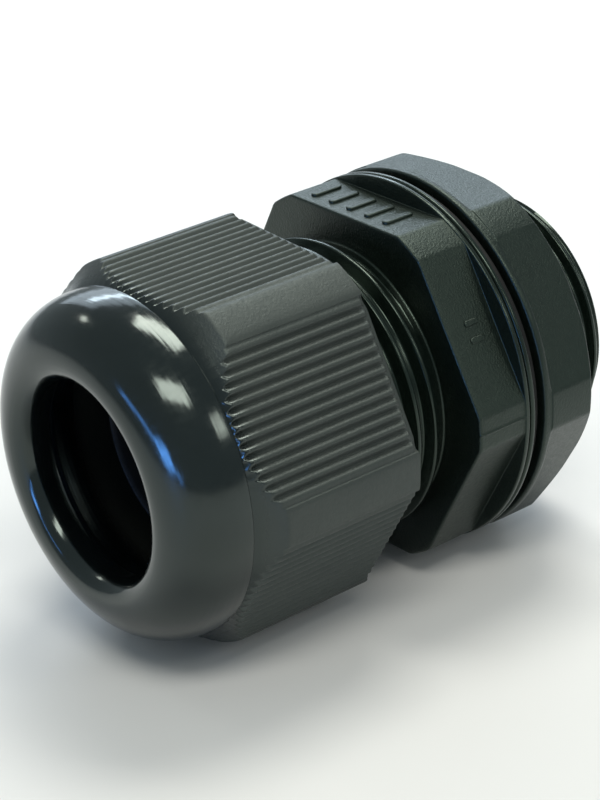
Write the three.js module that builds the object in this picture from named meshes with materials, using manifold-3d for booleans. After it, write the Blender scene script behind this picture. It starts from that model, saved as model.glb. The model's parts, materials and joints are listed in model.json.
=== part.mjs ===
// Nylon M25 x 1.5 cable gland: dome nut, elastomer seal, twelve clamp fingers, hexagon body,
// sealing washer and locknut. Millimetres, +Z up, gland axis along X, dome towards -X.
import * as THREE from 'three';
import { mergeVertices } from 'three/addons/utils/BufferGeometryUtils.js';
import Module from 'manifold-3d';

const wasm = await Module();
wasm.setup();

// ---- driving dimensions (mm, radii unless named otherwise) ----
const AXIS_HEIGHT = 18.0;
const SEGMENTS = 48;
const THREAD_STEPS = 24;
const SLIVER = 0.012;

const NUT_FLAT = 16.5;
const NUT_RIB_DEPTH = 0.34;
const NUT_CORNER = 18.05;
const NUT_TURN_DEG = 2.3;
const NUT_FRONT = -25.9;
const NUT_DOME_BASE = -19.4;
const NUT_DOME_BASE_R = 16.2;
const NUT_SHOULDER_END = -16.9;
const NUT_RIB_END = -3.2;
const NUT_REAR = -2.1;
const NUT_REAR_CHAMFER = 1.0;
const RIBS_PER_FLAT = 14;
const RIB_PITCH = 1.02;
const RIB_TOP_WIDTH = 0.3;
const LIP_R = 11.3;
const THROAT_R = 9.25;
const CHAMBER_R = 12.75;
const NUT_THREAD_BORE = 13.35;
const NUT_THREAD_MOUTH = 14.5;

const DOME_THREAD = { crest: 14.2, root: 13.1, pitch: 2.0, crestWidth: 0.42, rootWidth: 1.2 };
const DOME_THREAD_FRONT = -5.0;
const DOME_THREAD_REAR = 4.1;
const DOME_THREAD_CLEARANCE = 0.24;
const NUT_THREAD_FRONT = -13.2;

const ENTRY_THREAD = { crest: 12.5, root: 11.7, pitch: 1.5, crestWidth: 0.28, rootWidth: 0.92 };
const ENTRY_THREAD_FRONT = 12.2;
const ENTRY_THREAD_REAR = 25.9;
const ENTRY_THREAD_CHAMFER = 0.8;
const ENTRY_THREAD_CLEARANCE = 0.18;

const BODY_FLAT = 16.2;
const BODY_CORNER = 17.85;
const BODY_HEX_FRONT = 4.9;
const BODY_HEX_CHAMFER = 0.35;
const FLANGE_FRONT = 10.4;
const FLANGE_REAR = 11.55;
const FLANGE_R = 18.0;
const FLANGE_GROOVE_DEPTH = 0.25;
const FLANGE_EDGE = 0.18;
const BODY_BORE = 9.6;
const SEAL_SEAT_BORE = 11.0;
const SEAL_SEAT_FLOOR = -4.4;
const BORE_CHAMFER = 0.6;

const FINGER_COUNT = 12;
const FINGER_SLOT = 1.7;
const FINGER_OUTER = 12.2;
const FINGER_INNER = 10.75;
const FINGER_BASE = -5.25;
const FINGER_TIP = -14.6;
const FINGER_TIP_CHAMFER = 0.9;

const SEAL_OUTER = 10.45;
const SEAL_BORE = 9.0;
const SEAL_FRONT = -16.2;
const SEAL_REAR = -4.65;
const SEAL_LIP = 0.5;

const WASHER_OUTER = 17.3;
const WASHER_INNER = 12.8;
const WASHER_FRONT = 11.8;
const WASHER_REAR = 12.5;

const LOCKNUT_TURN_DEG = 1.9;
const LOCKNUT_FLAT = 16.5;
const LOCKNUT_CORNER = 18.1;
const LOCKNUT_FRONT = 12.75;
const LOCKNUT_COLLAR_REAR = 13.6;
const LOCKNUT_COLLAR_R = 18.0;
const LOCKNUT_CHAMFER_START = 18.3;
const LOCKNUT_REAR = 19.9;
const LOCKNUT_REAR_R = 16.45;
const LOCKNUT_BORE = 11.9;
const LOCKNUT_MOUTH = 12.95;

// Inner radius of solids that are only envelopes or get bored afterwards, and how far cutters overrun.
const CORE = 2.0;
const OVERRUN = 1.0;

// ---- solids ----

// A closed three.js geometry as a manifold solid, turned outside out when its faces point inwards.
function toSolid(geometry) {
  const bare = geometry.index ? geometry.clone() : geometry;
  bare.deleteAttribute('normal');
  bare.deleteAttribute('uv');
  const welded = mergeVertices(bare, 1e-5);
  const position = welded.attributes.position;
  const index = Array.from(welded.index.array);
  const kept = [];
  let volume = 0;
  const a = new THREE.Vector3();
  const b = new THREE.Vector3();
  const c = new THREE.Vector3();
  for (let i = 0; i < index.length; i += 3) {
    const [p, q, r] = [index[i], index[i + 1], index[i + 2]];
    if (p === q || q === r || r === p) continue;
    kept.push(p, q, r);
    a.fromBufferAttribute(position, p);
    b.fromBufferAttribute(position, q);
    c.fromBufferAttribute(position, r);
    volume += a.dot(b.cross(c));
  }
  if (volume < 0) {
    for (let i = 0; i < kept.length; i += 3) {
      [kept[i], kept[i + 1]] = [kept[i + 1], kept[i]];
    }
  }
  const mesh = new wasm.Mesh({
    numProp: 3,
    vertProperties: new Float32Array(position.array),
    triVerts: new Uint32Array(kept),
  });
  return new wasm.Manifold(mesh);
}

function toGeometry(solid) {
  const mesh = solid.simplify(SLIVER).getMesh();
  const geometry = new THREE.BufferGeometry();
  geometry.setAttribute('position', new THREE.BufferAttribute(new Float32Array(mesh.vertProperties), 3));
  geometry.setIndex(new THREE.BufferAttribute(new Uint32Array(mesh.triVerts), 1));
  const flat = geometry.toNonIndexed();
  flat.computeVertexNormals();
  return flat;
}

// A solid of revolution about the gland axis; the profile is a closed loop of [x, radius].
function turned(profile, segments = SEGMENTS) {
  const loop = [...profile, profile[0]].map(([x, r]) => new THREE.Vector2(r, x));
  const geometry = new THREE.LatheGeometry(loop, segments);
  geometry.rotateZ(-Math.PI / 2);
  return toSolid(geometry);
}

// A plain cylinder about the axis, used as cutter or core.
function shaft(from, to, radius, segments = SEGMENTS) {
  const geometry = new THREE.CylinderGeometry(radius, radius, to - from, segments);
  geometry.rotateZ(-Math.PI / 2);
  geometry.translate((from + to) / 2, 0, 0);
  return toSolid(geometry);
}

// An outline of [y, z] points pushed along the axis.
function extruded(outline, from, to) {
  const shape = new THREE.Shape(outline.map(([y, z]) => new THREE.Vector2(-z, y)));
  const geometry = new THREE.ExtrudeGeometry(shape, { depth: to - from, bevelEnabled: false });
  geometry.rotateY(Math.PI / 2);
  geometry.translate(from, 0, 0);
  return toSolid(geometry);
}

function polar(radius, degrees) {
  const angle = THREE.MathUtils.degToRad(degrees);
  return [-radius * Math.sin(angle), radius * Math.cos(angle)];
}

// Hexagon with a flat on top, its corners cut by a circle.
function hexOutline(flat, corner, turnDeg) {
  const halfFlat = THREE.MathUtils.radToDeg(Math.acos(flat / corner));
  const outline = [];
  for (let side = 0; side < 6; side += 1) {
    const middle = turnDeg + side * 60;
    const cornerSpan = 60 - 2 * halfFlat;
    for (const step of [0, 1 / 3, 2 / 3, 1]) {
      outline.push(polar(corner, middle + halfFlat + cornerSpan * step));
    }
  }
  return outline;
}

// The dome nut's hexagon: flats with a row of raised ribs, or with none, between smooth corners.
function nutOutline(ribCount) {
  const floor = NUT_FLAT - NUT_RIB_DEPTH;
  const bandHalf = (RIBS_PER_FLAT * RIB_PITCH) / 2;
  const halfFlat = THREE.MathUtils.radToDeg(Math.acos(NUT_FLAT / NUT_CORNER));
  const cornerSpan = 60 - 2 * halfFlat;
  const outline = [];
  for (let side = 0; side < 6; side += 1) {
    const middleDeg = NUT_TURN_DEG + side * 60;
    const middle = THREE.MathUtils.degToRad(middleDeg);
    const place = (across, out) => [
      -out * Math.sin(middle) - across * Math.cos(middle),
      out * Math.cos(middle) - across * Math.sin(middle),
    ];
    outline.push(place(-bandHalf, floor));
    for (let rib = 0; rib < ribCount; rib += 1) {
      const centre = -bandHalf + (rib + 0.5) * RIB_PITCH;
      outline.push(place(centre - RIB_TOP_WIDTH / 2, NUT_FLAT));
      outline.push(place(centre + RIB_TOP_WIDTH / 2, NUT_FLAT));
      if (rib < ribCount - 1) outline.push(place(centre + RIB_PITCH / 2, floor));
    }
    outline.push(place(bandHalf, floor));
    for (const step of [0, 1 / 3, 2 / 3, 1]) {
      outline.push(polar(NUT_CORNER, middleDeg + halfFlat + cornerSpan * step));
    }
  }
  return outline;
}

// One right-hand screw ridge, bent from a long thin box; turns start at angle 0 on +Y.
function screwRidge(thread, from, to, grow, footRadius) {
  const stepLength = thread.pitch / THREAD_STEPS;
  const start = Math.round(from / stepLength) * stepLength;
  const steps = Math.round((to - start) / stepLength);
  const geometry = new THREE.BoxGeometry(1, 1, 1, steps, 1, 1);
  const position = geometry.attributes.position;
  const slope = (thread.rootWidth - thread.crestWidth) / (thread.crest - thread.root) / 2;
  for (let i = 0; i < position.count; i += 1) {
    const along = position.getX(i) + 0.5;
    const atCrest = position.getY(i) > 0;
    const radius = atCrest ? thread.crest + grow : footRadius;
    const halfWidth = thread.crestWidth / 2 + grow + slope * (thread.crest + grow - radius);
    const centre = start + along * steps * stepLength;
    const angle = (centre / thread.pitch) * 2 * Math.PI;
    const x = centre + (position.getZ(i) > 0 ? halfWidth : -halfWidth);
    position.setXYZ(i, x, radius * Math.cos(angle), radius * Math.sin(angle));
  }
  return toSolid(geometry);
}

// ---- the pieces ----

// Quarter-round nose of the dome, from its base forward to the lip round the mouth.
function domeNose() {
  const points = [];
  const steps = 9;
  for (let i = 0; i <= steps; i += 1) {
    const t = ((i / steps) * Math.PI) / 2;
    const x = NUT_DOME_BASE + (NUT_FRONT - NUT_DOME_BASE) * Math.sin(t) ** 0.84;
    const r = LIP_R + (NUT_DOME_BASE_R - LIP_R) * Math.cos(t) ** 1.12;
    points.push([x, r]);
  }
  return points;
}

// The mouth: a rolled lip into the throat, a waist, then the chamber that presses on the fingers.
function mouthCutter() {
  const chamberEnd = NUT_THREAD_FRONT - 1.9;
  return turned([
    [NUT_FRONT - OVERRUN, CORE],
    [NUT_FRONT - OVERRUN, LIP_R],
    [NUT_FRONT, LIP_R - 0.3],
    [NUT_FRONT + 0.16, THROAT_R + 1.15],
    [NUT_FRONT + 0.5, THROAT_R + 0.6],
    [NUT_FRONT + 1.2, THROAT_R + 0.15],
    [NUT_FRONT + 2.2, THROAT_R],
    [NUT_FRONT + 3.3, THROAT_R + 0.2],
    [NUT_FRONT + 4.3, THROAT_R + 0.95],
    [NUT_FRONT + 4.5, THROAT_R + 1.35],
    [chamberEnd, CHAMBER_R],
    [chamberEnd, CORE],
  ]);
}

// The bore for the female thread, tapered in from the chamber and opened at the rear.
function nutBoreCutter() {
  const start = NUT_THREAD_FRONT - 2.1;
  return turned([
    [start, CORE],
    [start, CHAMBER_R - 0.15],
    [NUT_THREAD_FRONT, NUT_THREAD_BORE],
    [NUT_REAR - 1.1, NUT_THREAD_BORE],
    [NUT_REAR, NUT_THREAD_MOUTH],
    [NUT_REAR + OVERRUN, NUT_THREAD_MOUTH],
    [NUT_REAR + OVERRUN, CORE],
  ], THREAD_STEPS);
}

function makeDomeNut() {
  const ribbed = extruded(nutOutline(RIBS_PER_FLAT), NUT_DOME_BASE, NUT_RIB_END)
    .add(extruded(nutOutline(0), NUT_RIB_END - OVERRUN, NUT_REAR));
  const hexEnvelope = turned([
    [NUT_DOME_BASE, CORE],
    [NUT_DOME_BASE, NUT_DOME_BASE_R],
    [NUT_SHOULDER_END, NUT_CORNER + 0.1],
    [NUT_REAR - NUT_REAR_CHAMFER, NUT_CORNER + 0.1],
    [NUT_REAR, NUT_CORNER - NUT_REAR_CHAMFER],
    [NUT_REAR, CORE],
  ]);
  const nose = turned([
    [NUT_DOME_BASE + 0.8, CORE],
    [NUT_DOME_BASE + 0.8, NUT_DOME_BASE_R - 0.8],
    ...domeNose(),
    [NUT_FRONT, CORE],
  ]);
  const groove = screwRidge(
    DOME_THREAD, NUT_THREAD_FRONT + 0.6, NUT_REAR + 1.4, DOME_THREAD_CLEARANCE, NUT_THREAD_BORE - 0.45);
  const gate = shaft(NUT_THREAD_FRONT, NUT_REAR + OVERRUN, NUT_CORNER);
  return ribbed.intersect(hexEnvelope).add(nose).subtract(mouthCutter())
    .subtract(nutBoreCutter()).subtract(groove.intersect(gate)).subtract(boreThrough());
}

// Clears the core of any envelope from end to end.
function boreThrough() {
  return shaft(NUT_FRONT - OVERRUN, ENTRY_THREAD_REAR + OVERRUN, CORE + 0.5, 12);
}

// The hexagon with its front edge broken, and the round flange with a thin groove behind it.
function makeBodyHead() {
  const hex = extruded(hexOutline(BODY_FLAT, BODY_CORNER, 0), BODY_HEX_FRONT, FLANGE_FRONT + 0.3);
  const hexEnvelope = turned([
    [BODY_HEX_FRONT, CORE],
    [BODY_HEX_FRONT, BODY_CORNER - 0.15],
    [BODY_HEX_FRONT + BODY_HEX_CHAMFER, BODY_CORNER + 0.2],
    [FLANGE_FRONT + 0.5, BODY_CORNER + 0.2],
    [FLANGE_FRONT + 0.5, CORE],
  ]);
  const middle = (FLANGE_FRONT + FLANGE_REAR) / 2;
  const grooveHalf = 0.12;
  const flange = turned([
    [FLANGE_FRONT, CORE],
    [FLANGE_FRONT, FLANGE_R - FLANGE_EDGE],
    [FLANGE_FRONT + FLANGE_EDGE, FLANGE_R],
    [middle - grooveHalf, FLANGE_R],
    [middle, FLANGE_R - FLANGE_GROOVE_DEPTH],
    [middle + grooveHalf, FLANGE_R],
    [FLANGE_REAR - FLANGE_EDGE, FLANGE_R],
    [FLANGE_REAR, FLANGE_R - FLANGE_EDGE],
    [FLANGE_REAR, CORE],
  ]);
  return hex.intersect(hexEnvelope).add(flange);
}

// The male thread that the dome nut runs on.
function makeDomeShank() {
  const envelope = turned([
    [DOME_THREAD_FRONT, CORE],
    [DOME_THREAD_FRONT, DOME_THREAD.root - 0.1],
    [DOME_THREAD_FRONT + 1.1, DOME_THREAD.crest + 0.3],
    [DOME_THREAD_REAR, DOME_THREAD.crest + 0.3],
    [DOME_THREAD_REAR, CORE],
  ], THREAD_STEPS);
  const ridge = screwRidge(
    DOME_THREAD, DOME_THREAD_FRONT - 0.6, DOME_THREAD_REAR + 0.2, 0, DOME_THREAD.root - 0.35);
  const shankEnd = BODY_HEX_FRONT + 0.4;
  return shaft(DOME_THREAD_FRONT, shankEnd, DOME_THREAD.root, THREAD_STEPS)
    .add(ridge).intersect(envelope)
    .add(shaft(DOME_THREAD_REAR - 0.3, shankEnd, DOME_THREAD.root, THREAD_STEPS));
}

// The male entry thread, chamfered at its end.
function makeEntryShank() {
  const start = FLANGE_REAR - 0.4;
  const envelope = turned([
    [start, CORE],
    [start, ENTRY_THREAD.crest + 0.3],
    [ENTRY_THREAD_REAR - ENTRY_THREAD_CHAMFER - 0.3, ENTRY_THREAD.crest + 0.3],
    [ENTRY_THREAD_REAR, ENTRY_THREAD.crest - ENTRY_THREAD_CHAMFER],
    [ENTRY_THREAD_REAR, CORE],
  ], THREAD_STEPS);
  const ridge = screwRidge(
    ENTRY_THREAD, ENTRY_THREAD_FRONT, ENTRY_THREAD_REAR + 0.8, 0, ENTRY_THREAD.root - 0.3);
  return shaft(start, ENTRY_THREAD_REAR, ENTRY_THREAD.root, THREAD_STEPS)
    .add(ridge).intersect(envelope);
}

function makeBody() {
  const bore = turned([
    [DOME_THREAD_FRONT - OVERRUN, CORE],
    [DOME_THREAD_FRONT - OVERRUN, SEAL_SEAT_BORE],
    [SEAL_SEAT_FLOOR, SEAL_SEAT_BORE],
    [SEAL_SEAT_FLOOR + 1.5, BODY_BORE],
    [ENTRY_THREAD_REAR - BORE_CHAMFER, BODY_BORE],
    [ENTRY_THREAD_REAR, BODY_BORE + BORE_CHAMFER],
    [ENTRY_THREAD_REAR + OVERRUN, BODY_BORE + BORE_CHAMFER],
    [ENTRY_THREAD_REAR + OVERRUN, CORE],
  ], THREAD_STEPS);
  return makeBodyHead().add(makeDomeShank()).add(makeEntryShank())
    .subtract(bore).subtract(boreThrough());
}

// One clamp finger: a slice of a thin ring standing forward of the body, bevelled at the tip.
function makeFinger(number) {
  const middle = (number + 0.5) * (360 / FINGER_COUNT);
  const half = 180 / FINGER_COUNT;
  const steps = 6;
  const outline = [];
  for (const [radius, order] of [[FINGER_OUTER + 1, 1], [FINGER_INNER - 1, -1]]) {
    const slotHalf = THREE.MathUtils.radToDeg(FINGER_SLOT / 2 / radius);
    for (let i = 0; i <= steps; i += 1) {
      const t = order > 0 ? i / steps : 1 - i / steps;
      outline.push(polar(radius, middle + (half - slotHalf) * (2 * t - 1)));
    }
  }
  const ring = turned([
    [FINGER_BASE, FINGER_INNER],
    [FINGER_BASE, FINGER_OUTER],
    [FINGER_TIP + FINGER_TIP_CHAMFER, FINGER_OUTER],
    [FINGER_TIP, FINGER_OUTER - FINGER_TIP_CHAMFER],
    [FINGER_TIP, FINGER_INNER],
  ]);
  return extruded(outline, FINGER_TIP - 1, FINGER_BASE + 1).intersect(ring);
}

function makeSeal() {
  return turned([
    [SEAL_FRONT, SEAL_BORE + SEAL_LIP],
    [SEAL_FRONT, SEAL_OUTER - SEAL_LIP],
    [SEAL_FRONT + SEAL_LIP, SEAL_OUTER],
    [SEAL_REAR, SEAL_OUTER],
    [SEAL_REAR, SEAL_BORE + SEAL_LIP],
    [SEAL_REAR - SEAL_LIP, SEAL_BORE],
    [SEAL_FRONT + SEAL_LIP, SEAL_BORE],
  ], THREAD_STEPS);
}

function makeWasher() {
  return turned([
    [WASHER_FRONT, WASHER_INNER],
    [WASHER_FRONT, WASHER_OUTER - 0.15],
    [WASHER_FRONT + 0.15, WASHER_OUTER],
    [WASHER_REAR - 0.15, WASHER_OUTER],
    [WASHER_REAR, WASHER_OUTER - 0.15],
    [WASHER_REAR, WASHER_INNER],
  ]);
}

function makeLocknut() {
  const outline = hexOutline(LOCKNUT_FLAT, LOCKNUT_CORNER, LOCKNUT_TURN_DEG);
  const hex = extruded(outline, LOCKNUT_FRONT + 0.5, LOCKNUT_REAR);
  const envelope = turned([
    [LOCKNUT_FRONT, CORE],
    [LOCKNUT_FRONT, LOCKNUT_CORNER + 0.2],
    [LOCKNUT_CHAMFER_START, LOCKNUT_CORNER + 0.2],
    [LOCKNUT_REAR, LOCKNUT_REAR_R],
    [LOCKNUT_REAR, CORE],
  ]);
  const collar = turned([
    [LOCKNUT_FRONT, CORE],
    [LOCKNUT_FRONT, LOCKNUT_COLLAR_R - 0.3],
    [LOCKNUT_FRONT + 0.3, LOCKNUT_COLLAR_R],
    [LOCKNUT_COLLAR_REAR, LOCKNUT_COLLAR_R],
    [LOCKNUT_COLLAR_REAR, CORE],
  ]);
  const lead = LOCKNUT_MOUTH - LOCKNUT_BORE;
  const bore = turned([
    [LOCKNUT_FRONT - OVERRUN, CORE],
    [LOCKNUT_FRONT - OVERRUN, LOCKNUT_MOUTH],
    [LOCKNUT_FRONT, LOCKNUT_MOUTH],
    [LOCKNUT_FRONT + lead, LOCKNUT_BORE],
    [LOCKNUT_REAR - lead, LOCKNUT_BORE],
    [LOCKNUT_REAR, LOCKNUT_MOUTH],
    [LOCKNUT_REAR + OVERRUN, LOCKNUT_MOUTH],
    [LOCKNUT_REAR + OVERRUN, CORE],
  ], THREAD_STEPS);
  const groove = screwRidge(
    ENTRY_THREAD, LOCKNUT_FRONT - 1.25, LOCKNUT_REAR + 1.25, ENTRY_THREAD_CLEARANCE, LOCKNUT_BORE - 0.3);
  return hex.intersect(envelope).add(collar).subtract(bore)
    .subtract(groove).subtract(boreThrough());
}

// ---- colours ----
function finish(colour, roughness, metalness = 0) {
  return new THREE.MeshStandardMaterial({ color: colour, roughness, metalness });
}

const nylonGloss = finish(0x16191b, 0.22);
const nylonSatin = finish(0x232a2a, 0.5);
const nylonFinger = finish(0x1d2123, 0.42);
const rubber = finish(0x0c0d0e, 0.72);

const gland = new THREE.Group();
gland.name = 'cable_gland';

function addPiece(name, solid, material) {
  const mesh = new THREE.Mesh(toGeometry(solid), material);
  mesh.geometry.translate(0, 0, AXIS_HEIGHT);
  mesh.name = name;
  gland.add(mesh);
}

addPiece('dome_nut', makeDomeNut(), nylonGloss);
addPiece('seal_bush', makeSeal(), rubber);
for (let number = 0; number < FINGER_COUNT; number += 1) {
  addPiece(`clamp_finger_${String(number + 1).padStart(2, '0')}`, makeFinger(number), nylonFinger);
}
addPiece('gland_body', makeBody(), nylonSatin);
addPiece('sealing_washer', makeWasher(), rubber);
addPiece('locknut', makeLocknut(), nylonSatin);

export default gland;
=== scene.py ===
"""An M25 nylon cable gland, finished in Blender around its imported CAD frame.

Lengths are millimetres and become metres where a mesh is made; the lights and the camera are
set in metres. The gland's axis runs along X at the height of the dome nut's joint, and angles
round it start at +Z and grow towards -Y.
"""
import json
import math

import bmesh
import bpy
import numpy as np
from mathutils import Matrix, Quaternion, Vector


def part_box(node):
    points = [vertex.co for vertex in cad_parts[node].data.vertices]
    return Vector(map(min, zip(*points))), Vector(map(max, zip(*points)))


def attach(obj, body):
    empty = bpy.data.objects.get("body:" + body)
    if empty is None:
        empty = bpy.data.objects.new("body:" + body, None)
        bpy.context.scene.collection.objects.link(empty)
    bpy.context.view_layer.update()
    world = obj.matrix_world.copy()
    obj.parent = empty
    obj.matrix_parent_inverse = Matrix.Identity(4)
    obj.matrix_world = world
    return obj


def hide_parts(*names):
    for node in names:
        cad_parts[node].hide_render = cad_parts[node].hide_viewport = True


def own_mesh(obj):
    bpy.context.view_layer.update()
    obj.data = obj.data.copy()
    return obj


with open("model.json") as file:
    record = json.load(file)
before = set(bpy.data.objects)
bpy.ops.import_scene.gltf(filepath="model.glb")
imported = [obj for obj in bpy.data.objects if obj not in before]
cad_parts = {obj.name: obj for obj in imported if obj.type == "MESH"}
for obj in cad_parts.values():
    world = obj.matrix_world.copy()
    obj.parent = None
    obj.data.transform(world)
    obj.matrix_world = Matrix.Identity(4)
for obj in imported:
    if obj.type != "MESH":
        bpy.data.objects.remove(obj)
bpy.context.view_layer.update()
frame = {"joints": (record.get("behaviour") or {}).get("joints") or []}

MM = 0.001
TURN = 2 * math.pi
AXIS_Z = next(j for j in frame["joints"] if j["name"] == "dome_turn")["pos_m"][2] / MM


def span(node):
    """Where a CAD node starts and ends along the axis, in millimetres."""
    low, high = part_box(node)
    return low.x / MM, high.x / MM


# ---- dimensions, millimetres: ends come from the CAD nodes, the rest repeats or refines the CAD ----
NUT_FRONT, NUT_REAR = span("dome_nut")
BODY_FRONT, BODY_REAR = span("gland_body")
WASHER_FRONT, WASHER_REAR = span("sealing_washer")
LOCKNUT_FRONT, LOCKNUT_REAR = span("locknut")
SEAL_FRONT, SEAL_REAR = span("seal_bush")
FINGER_TIP, FINGER_BASE = span("clamp_finger_01")

NUT_FLAT, NUT_CORNER, NUT_TURN_DEG = 16.5, 18.05, 2.3
NUT_FACE_R = 15.2
RIBS, RIB_PITCH, RIB_DEPTH = 14, 1.02, 0.37
RIB_END = NUT_REAR - 0.5
DOME_DEPTH = 6.5
DOME_BASE, DOME_BASE_R, LIP_R = NUT_FRONT + DOME_DEPTH, 16.2, 11.3
SHOULDER_SLOPE = 0.78
NUT_BORE, NUT_BORE_MOUTH = 13.35, 14.5
NUT_THREAD_FRONT, NUT_THREAD_REAR = -13.2, NUT_REAR - 1.1
CHAMBER = [(-21.35, 10.62, 0), (-18.2, 11.7, 0), (-15.1, 12.75, 0.2)]    # x, radius, rounding

BODY_FLAT, BODY_CORNER = 16.2, 17.85
HEX_FRONT, FLANGE_FRONT, FLANGE_REAR, FLANGE_R = 4.9, 10.4, 11.55, 18.0
BODY_BORE, SEAT_BORE, SEAT_FRONT, SEAT_REAR = 9.6, 11.0, -4.4, -2.9
DOME_THREAD_REAR, ENTRY_THREAD_FRONT = 4.2, 12.1
SEAM_HEIGHT, SEAM_HALF_DEG = 0.10, 0.48

LOCKNUT_FLAT, LOCKNUT_CORNER, LOCKNUT_TURN_DEG = 16.5, 18.1, 1.9
COLLAR_R, COLLAR_REAR = 18.0, 13.6
LOCKNUT_REAR_R, LOCKNUT_BORE, LOCKNUT_BORE_MOUTH = 16.45, 11.9, 12.95
LOCKNUT_MIDDLE, LOCKNUT_CHAMFER, LOCKNUT_CHAMFER_SLOPE = 16.0, 18.3, 0.865

FINGERS, FINGER_SLOT, FINGER_MIDDLE = 12, 1.7, -9.0

DOME_THREAD = {"crest": 14.2, "root": 13.1, "pitch": 2.0, "top": 0.42, "foot": 1.2}
ENTRY_THREAD = {"crest": 12.5, "root": 11.7, "pitch": 1.5, "top": 0.28, "foot": 0.92}
THREAD_PHASE = 0.25    # share of the pitch that a ridge has climbed at angle 0

# Extra columns on both sides of an edge, and the metres under which points merge and slivers go.
EDGE_STEPS_DEG = (-0.9, -0.45, 0, 0.45, 0.9)
SEAM_STEPS_DEG = (-0.9, -SEAM_HALF_DEG, -0.24, 0, 0.24, SEAM_HALF_DEG, 0.9)
MERGE_M, SLIVER_M = 1.2e-6, 4e-7


# ---- mesh building: patches of rows and columns round the axis ----
def filleted(corners, count, steps=4):
    """Rows through the corners (x, radius, rounding); x and radius may differ from column to column."""
    spots = np.array([
        np.stack([np.broadcast_to(x, count), np.broadcast_to(r, count)], axis=-1)
        for x, r, _ in corners
    ], float)
    rows = [spots[0]]
    for k in range(1, len(corners) - 1):
        size = corners[k][2]
        if size == 0:
            rows.append(spots[k])
            continue
        sides = []
        for other in (spots[k - 1], spots[k + 1]):
            away = other - spots[k]
            length = np.maximum(np.linalg.norm(away, axis=-1, keepdims=True), 1e-9)
            sides.append(spots[k] + away / length * np.minimum(size, 0.46 * length))
        for s in np.linspace(0, 1, steps + 1):
            rows.append((1 - s) ** 2 * sides[0] + 2 * s * (1 - s) * spots[k] + s * s * sides[1])
    rows.append(spots[-1])
    return np.array(rows)


def smooth_line(points, steps):
    """Points on a smooth curve through the given ones (Catmull-Rom)."""
    p = np.array([points[0], *points, points[-1]], float)
    made = []
    for k in range(1, len(p) - 2):
        for s in np.arange(steps) / steps:
            made.append(0.5 * (
                2 * p[k] + (p[k + 1] - p[k - 1]) * s
                + (2 * p[k - 1] - 5 * p[k] + 4 * p[k + 1] - p[k + 2]) * s ** 2
                + (3 * p[k] - p[k - 1] - 3 * p[k + 1] + p[k + 2]) * s ** 3
            ))
    made.append(p[-2])
    return [tuple(q) for q in made]


def spots_round(x, r, angles):
    """Points at x and radius r, one for each column angle."""
    return np.stack([x, -r * np.sin(angles), r * np.cos(angles)], axis=-1)


def ring_quads(rows, count):
    """Quads between closed rings that follow one another."""
    i, j = np.meshgrid(np.arange(rows - 1), np.arange(count), indexing="ij")
    k = (j + 1) % count
    quads = np.stack([i * count + j, i * count + k, (i + 1) * count + k, (i + 1) * count + j], -1)
    return quads.reshape(-1, 4)


def round_patch(rows, angles):
    """Vertices and quads of closed rings, one ring per row."""
    vertices = spots_round(rows[..., 0], rows[..., 1], angles).reshape(-1, 3)
    return vertices, ring_quads(len(rows), len(angles))


def stitch_patch(row_a, angles_a, row_b, angles_b):
    """Triangles between two rings with different columns; angles_b grows within one turn."""
    order = np.argsort((angles_a - angles_b[0]) % TURN)
    points, turns = [], []
    for row, angles in ((np.array(row_a)[order], angles_a[order]), (np.array(row_b), angles_b)):
        x, r = row.T
        points.append(spots_round(x, r, angles))
        turn = (angles - angles_b[0]) % TURN
        turns.append(np.append(turn, turn[0] + TURN))
    a, b = len(angles_a), len(angles_b)
    i = j = 0
    faces = []
    while i < a or j < b:
        if j == b or (i < a and turns[0][i + 1] <= turns[1][j + 1]):
            faces.append((i % a, (i + 1) % a, a + j % b))
            i += 1
        else:
            faces.append((i % a, a + (j + 1) % b, a + j % b))
            j += 1
    return np.concatenate(points), np.array(faces)


def thread_profile(thread, grow=0.0, land=None):
    """One pitch of a thread as (offset from the ridge's middle, radius), with rounded corners."""
    low = thread["root"] if land is None else land
    high = thread["crest"] + grow
    slope = (thread["foot"] - thread["top"]) / 2 / (thread["crest"] - thread["root"])
    top = thread["top"] / 2 + grow
    foot = top + slope * (high - low)
    half = thread["pitch"] / 2
    corners = [(-half, low, 0), (-foot, low, 0.12), (-top, high, 0.13),
               (top, high, 0.13), (foot, low, 0.12), (half, low, 0)]
    return filleted(corners, 1, steps=3)[:-1, 0, :]


def thread_patch(angles, start, end, thread, profile, limit=None):
    """A right-hand thread between two x stations, and its rings at both ends.

    Rows past a station are clipped to it, so the ends are flat; limit caps the radius at each x.
    """
    pitch, per_turn, count = thread["pitch"], len(profile), len(angles)
    first = math.floor(start / pitch) - 3
    last = math.ceil(end / pitch) + 2
    turns = np.repeat(np.arange(first, last + 1), per_turn) * pitch
    along = turns + np.tile(profile[:, 0], last + 1 - first)
    radii = np.tile(profile[:, 1], last + 1 - first)
    lead = pitch * (angles / TURN + THREAD_PHASE)
    places = along[:, None] + lead[None, :]
    x = np.clip(places, start, end)
    r = np.stack([np.interp(x[:, j], places[:, j], radii) for j in range(count)], axis=1)
    if limit is not None:
        r = np.minimum(r, limit(x))
    vertices = spots_round(x, r, angles).reshape(-1, 3)
    i, j = np.meshgrid(np.arange(len(along) - 1), np.arange(count), indexing="ij")
    shift = np.where(j == count - 1, per_turn, 0)
    k = (j + 1) % count
    keep = i + 1 + shift < len(along)
    quads = np.stack([i * count + j, (i + shift) * count + k,
                      (i + 1 + shift) * count + k, (i + 1) * count + j], -1)[keep]
    rings = [np.stack([x[row], r[row]], axis=-1) for row in (0, -1)]
    return (vertices, quads.reshape(-1, 4)), rings


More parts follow.
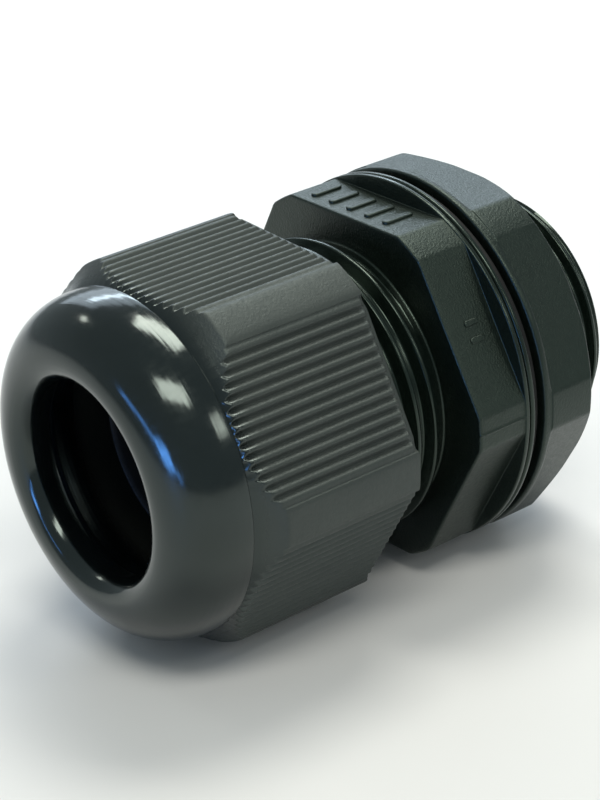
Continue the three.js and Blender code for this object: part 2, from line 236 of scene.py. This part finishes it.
def raised_bar(flat, turn_deg, centre, half_length, half_width, height):
    """A low rounded bar standing on a flat; centre is (x, across)."""
    sunk, columns = 0.1, 32
    rows = [(half_width, -sunk), (0, -sunk), (0, height * 0.6), (0.04, height * 0.85),
            (0.1, height), (half_width * 0.5, height), (half_width, height)]
    turn = math.radians(turn_deg)
    points = []
    for inset, lift in rows:
        radius, out = half_width - inset, flat + lift
        for k in range(columns):
            angle = (k + 0.5) * TURN / columns
            end = centre[0] + math.copysign(half_length - half_width, math.cos(angle))
            across = centre[1] + radius * math.sin(angle)
            points.append((end + radius * math.cos(angle),
                           -out * math.sin(turn) - across * math.cos(turn),
                           out * math.cos(turn) - across * math.sin(turn)))
    return np.array(points), ring_quads(len(rows), columns)


def make_piece(name, patches, material, sharp_deg=38, even=True):
    """One object from patches that share their end rings; even weights its normals by face area."""
    vertices, faces, offset = [], [], 0
    for points, quads in patches:
        vertices.append(points)
        faces += (quads + offset).tolist()
        offset += len(points)
    points = np.concatenate(vertices)
    points[:, 2] += AXIS_Z
    mesh = bpy.data.meshes.new(name)
    mesh.from_pydata((points * MM).tolist(), [], faces)
    mesh.validate()
    bm = bmesh.new()
    bm.from_mesh(mesh)
    bmesh.ops.remove_doubles(bm, verts=bm.verts, dist=MERGE_M)
    bmesh.ops.dissolve_degenerate(bm, edges=bm.edges, dist=SLIVER_M)
    bmesh.ops.recalc_face_normals(bm, faces=bm.faces)
    bm.to_mesh(mesh)
    bm.free()
    mesh.polygons.foreach_set("use_smooth", [True] * len(mesh.polygons))
    mesh.set_sharp_from_angle(angle=math.radians(sharp_deg))
    mesh.materials.append(material)
    piece = bpy.data.objects.new(name, mesh)
    bpy.context.scene.collection.objects.link(piece)
    if even:
        weighted = piece.modifiers.new("even_normals", "WEIGHTED_NORMAL")
        weighted.keep_sharp = True
    return piece


def stand_in(piece, node, body):
    """The piece takes the CAD node's place and rides on its body."""
    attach(piece, body)
    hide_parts(node)


def soft_min(a, b, blend):
    """The smaller of two values with a rounded change-over."""
    h = np.clip(0.5 + 0.5 * (b - a) / blend, 0, 1)
    return b * (1 - h) + a * h - blend * h * (1 - h)


def side_angle(angles, turn_deg):
    """Angle from the middle of the nearest of six flats."""
    sixth = TURN / 6
    return (angles - math.radians(turn_deg) + sixth / 2) % sixth - sixth / 2


def hexagon(angles, flat, corner, turn_deg, blend=0.12):
    """Radius of a hexagon whose corners are cut by a circle."""
    return soft_min(flat / np.cos(side_angle(angles, turn_deg)), corner, blend)


def hexagon_columns(flat, corner, turn_deg, spacing_deg=1.6, extra=()):
    """Column angles spread evenly, with more where the flats meet the corners."""
    closest_deg = 0.12
    half_flat = math.degrees(math.acos(flat / corner))
    wanted = list(np.arange(0, 360, spacing_deg)) + list(extra)
    for side in range(6):
        for edge in (-half_flat, half_flat):
            wanted += [turn_deg + 60 * side + edge + d for d in EDGE_STEPS_DEG]
    wanted = sorted(a % 360 for a in wanted)
    kept = [wanted[0]]
    for angle in wanted[1:]:
        if angle - kept[-1] > closest_deg:
            kept.append(angle)
    return np.radians(kept)


def even_columns(count):
    """Column angles at equal steps."""
    return np.arange(count) * TURN / count


# ---- materials ----
class Finish:
    """A node material built step by step."""

    def __init__(self, name):
        self.material = bpy.data.materials.new(name)
        self.material.use_nodes = True
        self.tree = self.material.node_tree
        self.shader = next(n for n in self.tree.nodes if n.type == "BSDF_PRINCIPLED")
        self.place = self.tree.nodes.new("ShaderNodeTexCoord").outputs["Object"]

    def link(self, source, target):
        self.tree.links.new(source, target)

    def noise(self, size_mm, detail=3.0, stretch=(1, 1, 1)):
        """A noise value with features of about size_mm."""
        mapping = self.tree.nodes.new("ShaderNodeMapping")
        mapping.inputs["Scale"].default_value = stretch
        self.link(self.place, mapping.inputs["Vector"])
        noise = self.tree.nodes.new("ShaderNodeTexNoise")
        noise.inputs["Scale"].default_value = 1 / (size_mm * MM)
        noise.inputs["Detail"].default_value = detail
        self.link(mapping.outputs["Vector"], noise.inputs["Vector"])
        return noise.outputs["Fac"]

    def remap(self, value, low, high, start=0.3, end=0.7):
        """Value from start..end to low..high, clamped."""
        node = self.tree.nodes.new("ShaderNodeMapRange")
        node.inputs["From Min"].default_value = start
        node.inputs["From Max"].default_value = end
        node.inputs["To Min"].default_value = low
        node.inputs["To Max"].default_value = high
        self.link(value, node.inputs["Value"])
        return node.outputs["Result"]

    def math(self, operation, a, b):
        node = self.tree.nodes.new("ShaderNodeMath")
        node.operation = operation
        for value, socket in ((a, node.inputs[0]), (b, node.inputs[1])):
            if isinstance(value, (int, float)):
                socket.default_value = value
            else:
                self.link(value, socket)
        return node.outputs[0]

    def along(self):
        """Position along the gland's axis in millimetres."""
        split = self.tree.nodes.new("ShaderNodeSeparateXYZ")
        self.link(self.place, split.inputs[0])
        return self.math("MULTIPLY", split.outputs["X"], 1 / MM)

    def ramp(self, fac, dark, light):
        """A colour between dark and light, as fac goes from 0.3 to 0.7."""
        node = self.tree.nodes.new("ShaderNodeValToRGB")
        stops = node.color_ramp.elements
        stops[0].position, stops[0].color = 0.3, (*dark, 1)
        stops[1].position, stops[1].color = 0.7, (*light, 1)
        self.link(fac, node.inputs["Fac"])
        return node.outputs["Color"]

    def colour(self, fac, dark, light):
        self.link(self.ramp(fac, dark, light), self.shader.inputs["Base Color"])

    def two_tone(self, share, fac, first, second):
        """Colour pair first where share is 0 and pair second where it is 1."""
        mix = self.tree.nodes.new("ShaderNodeMix")
        mix.data_type = "RGBA"
        factor, colour_a, colour_b = mix.inputs[0], mix.inputs[6], mix.inputs[7]
        self.link(share, factor)
        self.link(self.ramp(fac, *first), colour_a)
        self.link(self.ramp(fac, *second), colour_b)
        self.link(mix.outputs[2], self.shader.inputs["Base Color"])

    def blend(self, share, first, second):
        """Value first where share is 0 and value second where it is 1."""
        change = self.math("MULTIPLY", share, self.math("SUBTRACT", second, first))
        return self.math("ADD", first, change)

    def reflectance_and_painted_tint(self, ior, tint):
        """How strongly the surface reflects, and a painted tint on its reflections seen head on: the
        studio light's cool green-blue colour, painted into the material.
        """
        self.shader.inputs["IOR"].default_value = ior
        self.shader.inputs["Specular Tint"].default_value = (*tint, 1)

    def roughness(self, value):
        self.link(value, self.shader.inputs["Roughness"])

    def bump(self, layers):
        """layers is [(height value, depth in millimetres)], finest last."""
        normal = None
        for height, depth_mm in layers:
            bump = self.tree.nodes.new("ShaderNodeBump")
            bump.inputs["Strength"].default_value = 1.0
            bump.inputs["Distance"].default_value = depth_mm * MM
            self.link(height, bump.inputs["Height"])
            if normal is not None:
                self.link(normal, bump.inputs["Normal"])
            normal = bump.outputs["Normal"]
        self.link(normal, self.shader.inputs["Normal"])


BLACK_NYLON = (0.0018, 0.0034, 0.0026), (0.0044, 0.0074, 0.0056)
POLISHED_NYLON = (0.0016, 0.0026, 0.0030), (0.0034, 0.0050, 0.0056)
SATIN_NYLON = (0.0165, 0.0185, 0.0168), (0.0235, 0.0258, 0.0232)
FINGER_NYLON = (0.0095, 0.0110, 0.0110), (0.0160, 0.0180, 0.0175)


def nylon_nut_finish():
    """Polished dome with faint turning lines, satin ribs and corners."""
    f = Finish("dome_nut_nylon")
    satin = f.remap(f.along(), 0.0, 1.0, DOME_BASE + 0.2, DOME_BASE + 2.2)
    f.two_tone(satin, f.noise(5.0), POLISHED_NYLON, SATIN_NYLON)
    polished = f.remap(f.noise(1.3, 5.0, (1, 2.2, 2.2)), 0.10, 0.18)
    matte = f.remap(f.noise(0.35, 4.0), 0.47, 0.57)
    f.roughness(f.blend(satin, polished, matte))
    shown = f.math("ADD", 0.02, f.math("MULTIPLY", satin, 0.98))
    grain = f.math("MULTIPLY", f.noise(0.22, 2.0), shown)
    turning = f.noise(0.45, 4.0, (1, 0.04, 0.04))
    f.bump([(f.noise(3.2, 1.5), 0.022), (turning, 0.018), (grain, 0.026)])
    # Painted tint: the nut's reflections carry the studio light's green-blue colour, painted into the
    # nylon.
    f.reflectance_and_painted_tint(1.60, (0.86, 1.0, 0.96))
    return f.material


def nylon_body_finish():
    """Fine spark-eroded grain on the hexagon, smoother threads and flange."""
    f = Finish("gland_body_nylon")
    x = f.along()
    rise = f.remap(x, 0.0, 1.0, HEX_FRONT - 0.25, HEX_FRONT + 0.1)
    fall = f.remap(x, 1.0, 0.0, FLANGE_FRONT - 0.1, FLANGE_FRONT + 0.15)
    grained = f.math("MULTIPLY", rise, fall)
    f.colour(f.noise(0.5, 6.0), *BLACK_NYLON)
    smooth = f.remap(f.noise(0.9, 4.0), 0.19, 0.27)
    matte = f.remap(f.noise(0.3, 4.0), 0.34, 0.48)
    f.roughness(f.blend(grained, smooth, matte))
    shown = f.math("ADD", 0.01, f.math("MULTIPLY", grained, 0.99))
    grain = f.math("MULTIPLY", f.noise(0.19, 3.0), shown)
    f.bump([(f.noise(2.6, 1.5), 0.012), (grain, 0.055)])
    # Painted tint: the body's reflections carry the studio light's green colour, painted into the nylon.
    f.reflectance_and_painted_tint(1.51, (0.78, 1.0, 0.86))
    return f.material


def nylon_locknut_finish():
    """The body's black with an even fine grain all over."""
    f = Finish("locknut_nylon")
    f.colour(f.noise(0.5, 6.0), *BLACK_NYLON)
    f.roughness(f.remap(f.noise(0.3, 4.0), 0.32, 0.44))
    f.bump([(f.noise(3.0, 1.5), 0.015), (f.noise(0.19, 3.0), 0.042)])
    # Painted tint: the locknut's reflections carry the studio light's green colour, painted into the
    # nylon.
    f.reflectance_and_painted_tint(1.50, (0.78, 1.0, 0.88))
    return f.material


def nylon_finger_finish():
    """Smoother and a little greyer nylon, as moulded."""
    f = Finish("clamp_finger_nylon")
    f.colour(f.noise(2.5), *FINGER_NYLON)
    f.roughness(f.remap(f.noise(0.7, 4.0), 0.30, 0.44))
    f.bump([(f.noise(1.4, 1.5), 0.012), (f.noise(0.12, 2.0), 0.006)])
    f.shader.inputs["IOR"].default_value = 1.53
    return f.material


def rubber_finish(name, dark, light):
    """Dull elastomer with a fine open grain and a faint bloom."""
    f = Finish(name)
    f.colour(f.noise(1.8, 5.0), dark, light)
    f.roughness(f.remap(f.noise(0.5, 5.0), 0.62, 0.80))
    f.bump([(f.noise(0.9, 2.0), 0.015), (f.noise(0.10, 3.0), 0.012)])
    f.shader.inputs["Specular IOR Level"].default_value = 0.35
    return f.material


# ---- the pieces ----
def nut_columns():
    """Outline of the ribbed hexagon: column angles, ribbed radius and the radius without ribs."""
    floor = NUT_FLAT - RIB_DEPTH
    half_band = RIBS * RIB_PITCH / 2
    columns, fullness, round_share, round_depth = 12, 0.8, 0.12, 0.10
    rib = [((share - 0.5) * RIB_PITCH, RIB_DEPTH * (0.5 - 0.5 * math.cos(TURN * share)) ** fullness)
           for share in np.arange(columns) / columns]
    half_flat = math.acos(NUT_FLAT / NUT_CORNER)
    angles, ribbed, plain = [], [], []
    for side in range(6):
        middle = math.radians(NUT_TURN_DEG) + side * TURN / 6
        band = [(-half_band + (n + 0.5) * RIB_PITCH + across, lift)
                for n in range(RIBS) for across, lift in rib] + [(half_band, 0.0)]
        for across, lift in band:
            from_edge = half_band - abs(across)
            if from_edge < RIB_PITCH / 2:    # the outer half of an end rib runs out halfway up
                lift = 0.5 * (RIB_DEPTH + lift)
            angle = math.atan2(across, floor + lift)
            angles.append(middle + angle)
            ribbed.append(math.hypot(across, floor + lift))
            plain.append(floor / math.cos(angle))
        corner = TURN / 6 - 2 * half_flat
        for share in (0.0, 0.05, 0.12, 0.25, 0.4, 0.5, 0.6, 0.75, 0.88, 0.95, 1.0):
            angles.append(middle + half_flat + corner * share)
            near_edge = max(0.0, 1 - min(share, 1 - share) / round_share)
            radius = NUT_CORNER - round_depth * near_edge ** 2
            ribbed.append(radius)
            plain.append(radius)
    return np.array(angles), np.array(ribbed), np.array(plain)


def nose_line():
    """Dome profile from the lip back to the base."""
    points = []
    for t in np.radians(np.linspace(90, 0, 40)):
        x = DOME_BASE - DOME_DEPTH * math.sin(t) ** 0.84
        points.append((x, LIP_R + (DOME_BASE_R - LIP_R) * math.cos(t) ** 1.12))
    return points


def mouth_line():
    """From the end of the chamber forward through the throat and out over the lip."""
    throat = [(-21.5, 10.35), (-21.85, 10.02), (-22.6, 9.45), (-23.7, 9.25), (-24.7, 9.40),
              (-25.4, 9.85), (-25.74, 10.4), (-25.88, 10.95), (NUT_FRONT, LIP_R)]
    return smooth_line(throat, 5)


def make_dome_nut():
    """Ribbed shell with its chamfered rear, the dome and mouth, the chamber and the inside thread."""
    angles, ribbed, plain = nut_columns()
    coarse = even_columns(240)
    shoulder_x = np.maximum(DOME_BASE + 0.14, DOME_BASE + (ribbed - DOME_BASE_R) / SHOULDER_SLOPE)
    chamfer_x = np.minimum(NUT_REAR - 0.16, NUT_REAR - 1.0 + (NUT_CORNER - plain))
    rear_r = np.minimum(plain - 0.14, NUT_CORNER - 1.0)
    shell = filleted([
        (NUT_REAR, NUT_FACE_R, 0),
        (NUT_REAR, rear_r - 0.2, 0),
        (NUT_REAR, rear_r, 0.08),
        (np.maximum(chamfer_x, RIB_END + 0.2), plain, 0.08),
        (RIB_END + 0.12, plain, 0.05),
        (RIB_END - 0.14, ribbed, 0.14),
        (RIB_END - 0.8, ribbed, 0),
        ((RIB_END + shoulder_x) / 2, ribbed, 0),
        (shoulder_x + 0.6, ribbed, 0),
        (shoulder_x, ribbed, 0.24),
        (DOME_BASE + 0.10, DOME_BASE_R - 0.07, 0),
    ], len(angles))
    thread, rings = thread_patch(
        coarse, NUT_THREAD_FRONT, NUT_THREAD_REAR, DOME_THREAD,
        thread_profile(DOME_THREAD, grow=0.24, land=NUT_BORE))
    rear = filleted([(rings[1][:, 0], rings[1][:, 1], 0), (NUT_REAR, NUT_BORE_MOUTH, 0.15),
                     (NUT_REAR, NUT_BORE_MOUTH + 0.4, 0)], len(coarse))
    line = nose_line()[::-1] + mouth_line()[::-1][1:]
    inside = [(DOME_BASE + 0.07, DOME_BASE_R - 0.09, 0), (DOME_BASE, DOME_BASE_R, 0.06)]
    inside += [(x, r, 0) for x, r in line[1:]]
    inside += CHAMBER + [(rings[0][:, 0], rings[0][:, 1], 0)]
    lining = filleted(inside, len(coarse), steps=3)
    patches = [
        thread, round_patch(rear, coarse), round_patch(lining, coarse), round_patch(shell, angles),
        stitch_patch(rear[-1], coarse, shell[0], angles),
        stitch_patch(lining[0], coarse, shell[-1], angles),
    ]
    return make_piece("dome_nut_shell", patches, nylon_nut_finish(), even=False)


def make_gland_body():
    """Dome thread, hexagon with two mould seams, double-beaded flange, entry thread and stepped bore."""
    seams = [edge + d for edge in (90, 270) for d in SEAM_STEPS_DEG]
    angles = hexagon_columns(BODY_FLAT, BODY_CORNER, 0, extra=seams)
    count = len(angles)
    from_seam = np.minimum(np.abs(angles - TURN / 4), np.abs(angles - 3 * TURN / 4))
    seam = SEAM_HEIGHT * np.clip(1 - from_seam / math.radians(SEAM_HALF_DEG), 0, 1)
    hexed = hexagon(angles, BODY_FLAT, BODY_CORNER, 0) + seam
    dome, dome_rings = thread_patch(
        angles, BODY_FRONT, DOME_THREAD_REAR, DOME_THREAD, thread_profile(DOME_THREAD),
        limit=lambda x: np.minimum(DOME_THREAD["root"] - 0.1 + (x - BODY_FRONT) * 1.25,
                                   DOME_THREAD["root"] + (DOME_THREAD_REAR - x) * 1.9))
    entry, entry_rings = thread_patch(
        angles, ENTRY_THREAD_FRONT, BODY_REAR, ENTRY_THREAD, thread_profile(ENTRY_THREAD),
        limit=lambda x: np.minimum(ENTRY_THREAD["root"] + (x - ENTRY_THREAD_FRONT) * 1.2,
                                   ENTRY_THREAD["root"] + 0.05 + (BODY_REAR - x)))
    middle = (FLANGE_FRONT + FLANGE_REAR) / 2
    outside = [
        (dome_rings[1][:, 0], dome_rings[1][:, 1], 0),
        (HEX_FRONT, DOME_THREAD["root"], 0.25),
        (HEX_FRONT, hexed - 0.6, 0),
        (HEX_FRONT, hexed, 0.26),
        (HEX_FRONT + 0.7, hexed, 0),
        (FLANGE_FRONT - 0.5, hexed, 0),
        (FLANGE_FRONT, hexed, 0.10),
        (FLANGE_FRONT, FLANGE_R - 0.02, 0.15),
        (middle - 0.16, FLANGE_R, 0.14),
        (middle, FLANGE_R - 0.3, 0.06),
        (middle + 0.16, FLANGE_R, 0.14),
        (FLANGE_REAR, FLANGE_R - 0.02, 0.17),
        (FLANGE_REAR, ENTRY_THREAD["root"], 0.2),
        (entry_rings[0][:, 0], entry_rings[0][:, 1], 0),
    ]
    inside = [
        (entry_rings[1][:, 0], entry_rings[1][:, 1], 0),
        (BODY_REAR, BODY_BORE + 0.6, 0.12),
        (BODY_REAR - 0.6, BODY_BORE, 0.2),
        (0.0, BODY_BORE, 0),
        (SEAT_REAR, BODY_BORE, 0.3),
        (SEAT_FRONT, SEAT_BORE, 0.25),
        (BODY_FRONT, SEAT_BORE, 0.14),
        (dome_rings[0][:, 0], dome_rings[0][:, 1], 0),
    ]
    patches = [dome, entry, round_patch(filleted(outside, count), angles),
               round_patch(filleted(inside, count), angles)]
    # Plain bars where such a gland carries its raised size mark and a smaller mark beside it.
    for across in np.linspace(-5.6, 4.4, 5):
        patches.append(raised_bar(BODY_FLAT, 0, (7.7, across), 1.7, 0.42, 0.24))
    for across in (-0.8, 0.8):
        patches.append(raised_bar(BODY_FLAT, 60, (7.9, across), 0.8, 0.28, 0.16))
    return make_piece("gland_body_shell", patches, nylon_body_finish())


def make_locknut():
    """Round collar, hexagon with a chamfered rear, and the inside thread."""
    angles = hexagon_columns(LOCKNUT_FLAT, LOCKNUT_CORNER, LOCKNUT_TURN_DEG)
    count = len(angles)
    hexed = hexagon(angles, LOCKNUT_FLAT, LOCKNUT_CORNER, LOCKNUT_TURN_DEG)
    inset = 1.05
    thread, rings = thread_patch(
        angles, LOCKNUT_FRONT + inset, LOCKNUT_REAR - inset, ENTRY_THREAD,
        thread_profile(ENTRY_THREAD, grow=0.18, land=LOCKNUT_BORE))
    from_corner = LOCKNUT_CORNER + 0.2 - hexed
    chamfer_x = np.minimum(LOCKNUT_REAR - 0.16, LOCKNUT_CHAMFER + from_corner * LOCKNUT_CHAMFER_SLOPE)
    rear_r = np.minimum(hexed - 0.12, LOCKNUT_REAR_R)
    outside = [
        (rings[1][:, 0], rings[1][:, 1], 0),
        (LOCKNUT_REAR, LOCKNUT_BORE_MOUTH, 0.15),
        (LOCKNUT_REAR, rear_r, 0.10),
        (chamfer_x, hexed, 0.14),
        (LOCKNUT_MIDDLE, hexed, 0),
        (COLLAR_REAR + 0.5, hexed, 0),
        (COLLAR_REAR, hexed, 0.15),
        (COLLAR_REAR, COLLAR_R, 0.34),
        (LOCKNUT_FRONT, COLLAR_R, 0.30),
        (LOCKNUT_FRONT, LOCKNUT_BORE_MOUTH, 0.15),
        (rings[0][:, 0], rings[0][:, 1], 0),
    ]
    patches = [thread, round_patch(filleted(outside, count), angles)]
    return make_piece("locknut_shell", patches, nylon_locknut_finish())


def make_washer():
    """A flat ring with rounded edges."""
    outer, inner = 17.3, 12.8
    middle = (WASHER_FRONT + WASHER_REAR) / 2
    angles = even_columns(144)
    corners = [
        (middle, inner, 0), (WASHER_FRONT, inner, 0.18), (WASHER_FRONT, outer, 0.22),
        (middle, outer - 0.04, 0.1), (WASHER_REAR, outer, 0.22), (WASHER_REAR, inner, 0.18),
        (middle, inner, 0),
    ]
    patch = round_patch(filleted(corners, len(angles)), angles)
    return make_piece("sealing_washer_ring", [patch], rubber_finish(
        "washer_rubber", (0.0055, 0.0058, 0.0060), (0.0095, 0.0098, 0.0100)))


def make_seal():
    """A thick sleeve with shallow gripping grooves inside and a lip at each end."""
    outer, slim, bore, lip = 10.45, 9.75, 9.0, 0.35
    angles = even_columns(144)
    corners = [(SEAL_REAR, (outer + bore) / 2, 0), (SEAL_REAR, outer, 0.25),
               (SEAL_FRONT + lip, slim, 0.2), (SEAL_FRONT, slim - lip, 0.1),
               (SEAL_FRONT, bore + 0.2, 0.1), (SEAL_FRONT + lip, bore, 0.2)]
    grooves = 5
    step = (SEAL_REAR - SEAL_FRONT - 2 * lip - 1) / grooves
    for n in range(grooves):
        x = SEAL_FRONT + lip + 0.6 + n * step
        corners += [(x + 0.2 * step, bore, 0.1), (x + 0.35 * step, bore + 0.22, 0.12),
                    (x + 0.65 * step, bore + 0.22, 0.12), (x + 0.8 * step, bore, 0.1)]
    corners += [(SEAL_REAR - lip, bore, 0.2), (SEAL_REAR, bore + lip, 0.2),
                (SEAL_REAR, (outer + bore) / 2, 0)]
    patch = round_patch(filleted(corners, len(angles), steps=3), angles)
    seal = make_piece("seal_bush_sleeve", [patch], rubber_finish(
        "seal_rubber", (0.0060, 0.0062, 0.0066), (0.0110, 0.0112, 0.0118)), even=False)
    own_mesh(seal)
    return seal


def finger_section(outer, inner, middle_deg, rounding):
    """Closed outline of one finger: two arcs joined by straight sides with rounded corners."""
    half, arc_points = TURN / FINGERS / 2, 9
    corners = []
    for radius, sense in ((outer, 1), (inner, -1)):
        reach = half - FINGER_SLOT / 2 / radius
        for s in np.linspace(-1, 1, arc_points):
            angle = math.radians(middle_deg) + sense * s * reach
            corners.append((-radius * math.sin(angle), radius * math.cos(angle)))
    points = np.array(corners)
    made = []
    for k, spot in enumerate(points):
        before, after = points[k - 1], points[(k + 1) % len(points)]
        if k % arc_points not in (0, arc_points - 1):
            made.append(spot)
            continue
        a = spot + (before - spot) / np.linalg.norm(before - spot) * rounding
        b = spot + (after - spot) / np.linalg.norm(after - spot) * rounding
        for s in (0, 0.33, 0.67, 1):
            made.append((1 - s) ** 2 * a + 2 * s * (1 - s) * spot + s * s * b)
    return np.array(made)


def make_finger(number, material):
    """One clamp finger, rounded at the root, chamfered outside at the tip."""
    middle_deg = (number + 0.5) * 360 / FINGERS
    outer, inner, chamfer, rounding = 12.2, 10.75, 0.9, 0.16
    chamfer_end = FINGER_TIP + chamfer
    stations = [(FINGER_BASE, 0.16), (FINGER_BASE - 0.06, 0.05), (FINGER_BASE - 0.2, 0.0),
                (FINGER_MIDDLE, 0.0), (chamfer_end + 0.12, 0.0), (chamfer_end - 0.12, 0.09),
                (FINGER_TIP + 0.15, chamfer - 0.16), (FINGER_TIP + 0.03, chamfer - 0.02),
                (FINGER_TIP, chamfer + 0.1)]
    rows = []
    for x, inset in stations:
        end = min(abs(x - FINGER_BASE), abs(x - FINGER_TIP))
        pull = 0.12 * max(0.0, 1 - end / 0.15)
        section = finger_section(outer - inset, inner + pull, middle_deg, rounding)
        centre = section.mean(axis=0)
        section = centre + (section - centre) * (1 - pull / 2)
        rows.append(np.column_stack([np.full(len(section), x), section]))
    patch = np.concatenate(rows), ring_quads(len(rows), len(rows[0]))
    name = f"clamp_finger_{number + 1:02d}"
    piece = make_piece(name + "_blade", [patch], material)
    bm = bmesh.new()
    bm.from_mesh(piece.data)
    bmesh.ops.holes_fill(bm, edges=bm.edges, sides=0)
    bmesh.ops.triangulate(bm, faces=[f for f in bm.faces if len(f.verts) > 4])
    bmesh.ops.recalc_face_normals(bm, faces=bm.faces)
    bm.to_mesh(piece.data)
    bm.free()
    stand_in(piece, name, f"finger_{number + 1:02d}")


# ---- stage: floor, lights and camera, metres ----
def softbox(name, azimuth_deg, elevation_deg, distance, size, radiance, colour, roll_deg=0):
    """A rectangular soft light facing the gland; radiance is in W per square metre and steradian."""
    a, e = math.radians(azimuth_deg), math.radians(elevation_deg)
    away = Vector((math.sin(a) * math.cos(e), -math.cos(a) * math.cos(e), math.sin(e)))
    data = bpy.data.lights.new(name, "AREA")
    data.shape = "RECTANGLE"
    data.size, data.size_y = size
    data.energy = radiance * math.pi * size[0] * size[1]
    data.color = colour
    lamp = bpy.data.objects.new(name, data)
    lamp.location = Vector((0, 0, AXIS_Z * MM)) + away * distance
    roll = Quaternion((0, 0, 1), math.radians(roll_deg))
    lamp.rotation_euler = ((-away).to_track_quat("-Z", "Y") @ roll).to_euler()
    bpy.context.scene.collection.objects.link(lamp)
    return lamp


def make_stage():
    """A pale matt floor, soft lights and an even dim surround."""
    half, gap = 1.6, 0.00005
    corners = [(-half, -half, 0), (half, -half, 0), (half, half, 0), (-half, half, 0)]
    mesh = bpy.data.meshes.new("studio_floor")
    mesh.from_pydata(corners, [], [(0, 1, 2, 3)])
    floor = bpy.data.objects.new("studio_floor", mesh)
    floor.location.z = -gap
    bpy.context.scene.collection.objects.link(floor)
    paint = Finish("studio_paint")
    paint.colour(paint.noise(60.0), (0.76, 0.75, 0.75), (0.79, 0.78, 0.78))
    paint.shader.inputs["Roughness"].default_value = 0.7
    mesh.materials.append(paint.material)
    world = bpy.data.worlds.new("studio")
    world.use_nodes = True
    surround = world.node_tree.nodes["Background"]
    surround.inputs["Color"].default_value = (0.84, 0.98, 1.02, 1)
    surround.inputs["Strength"].default_value = 0.36
    bpy.context.scene.world = world
    cool, warm, blue = (0.84, 0.96, 1.10), (1.0, 0.99, 0.90), (0.12, 0.36, 1.0)
    softbox("back_softbox", 143, 27, 0.60, (0.62, 0.34), 1.6, cool)
    softbox("back_strip", 152, 29, 0.50, (0.24, 0.045), 8.0, cool)
    softbox("top_softbox", 119, 66, 0.45, (0.24, 0.13), 11.5, warm)
    softbox("front_top_softbox", -30, 59, 0.45, (0.27, 0.11), 9.0, warm)
    softbox("rim_panel", 197, 37, 0.45, (0.055, 0.035), 9.0, warm)
    softbox("camera_side_panel", 25, 31, 0.50, (0.10, 0.11), 6.0, warm)
    # Blue window light that only shows in reflections, so that it doesn't tint the floor.
    glints = [softbox("window_strip", -82, 9, 0.45, (0.46, 0.04), 5.5, blue, roll_deg=-15),
              softbox("window_pane", -75, 7, 0.42, (0.11, 0.09), 10.0, blue)]
    for lamp in glints:
        lamp.visible_diffuse = False


def make_camera():
    """The photograph's viewpoint: azimuth from -Y towards +X, and a slight roll."""
    azimuth, elevation, roll = math.radians(-37.64), math.radians(25.96), math.radians(-3.5)
    aim = Vector((-0.00155, -0.00041, 0.01789))
    distance = 0.22436
    back = Vector((math.sin(azimuth) * math.cos(elevation),
                   -math.cos(azimuth) * math.cos(elevation), math.sin(elevation)))
    level = Vector((math.cos(azimuth), math.sin(azimuth), 0))
    right = Matrix.Rotation(roll, 3, back) @ level
    up = back.cross(right)
    data = bpy.data.cameras.new("view_camera")
    data.sensor_width = 36.0
    data.lens = 109.62
    data.clip_start, data.clip_end = 0.01, 10.0
    camera = bpy.data.objects.new("view_camera", data)
    turn = Matrix((right, up, back)).transposed().to_4x4()
    camera.matrix_world = Matrix.Translation(aim + back * distance) @ turn
    bpy.context.scene.collection.objects.link(camera)
    bpy.context.scene.camera = camera


make_camera()
stand_in(make_dome_nut(), "dome_nut", "dome")
stand_in(make_gland_body(), "gland_body", "body")
stand_in(make_locknut(), "locknut", "back_nut")
stand_in(make_washer(), "sealing_washer", "washer_spin")
stand_in(make_seal(), "seal_bush", "seal_spin")
finger_nylon = nylon_finger_finish()
for finger in range(FINGERS):
    make_finger(finger, finger_nylon)
make_stage()
bpy.context.scene.view_settings.view_transform = "Standard"
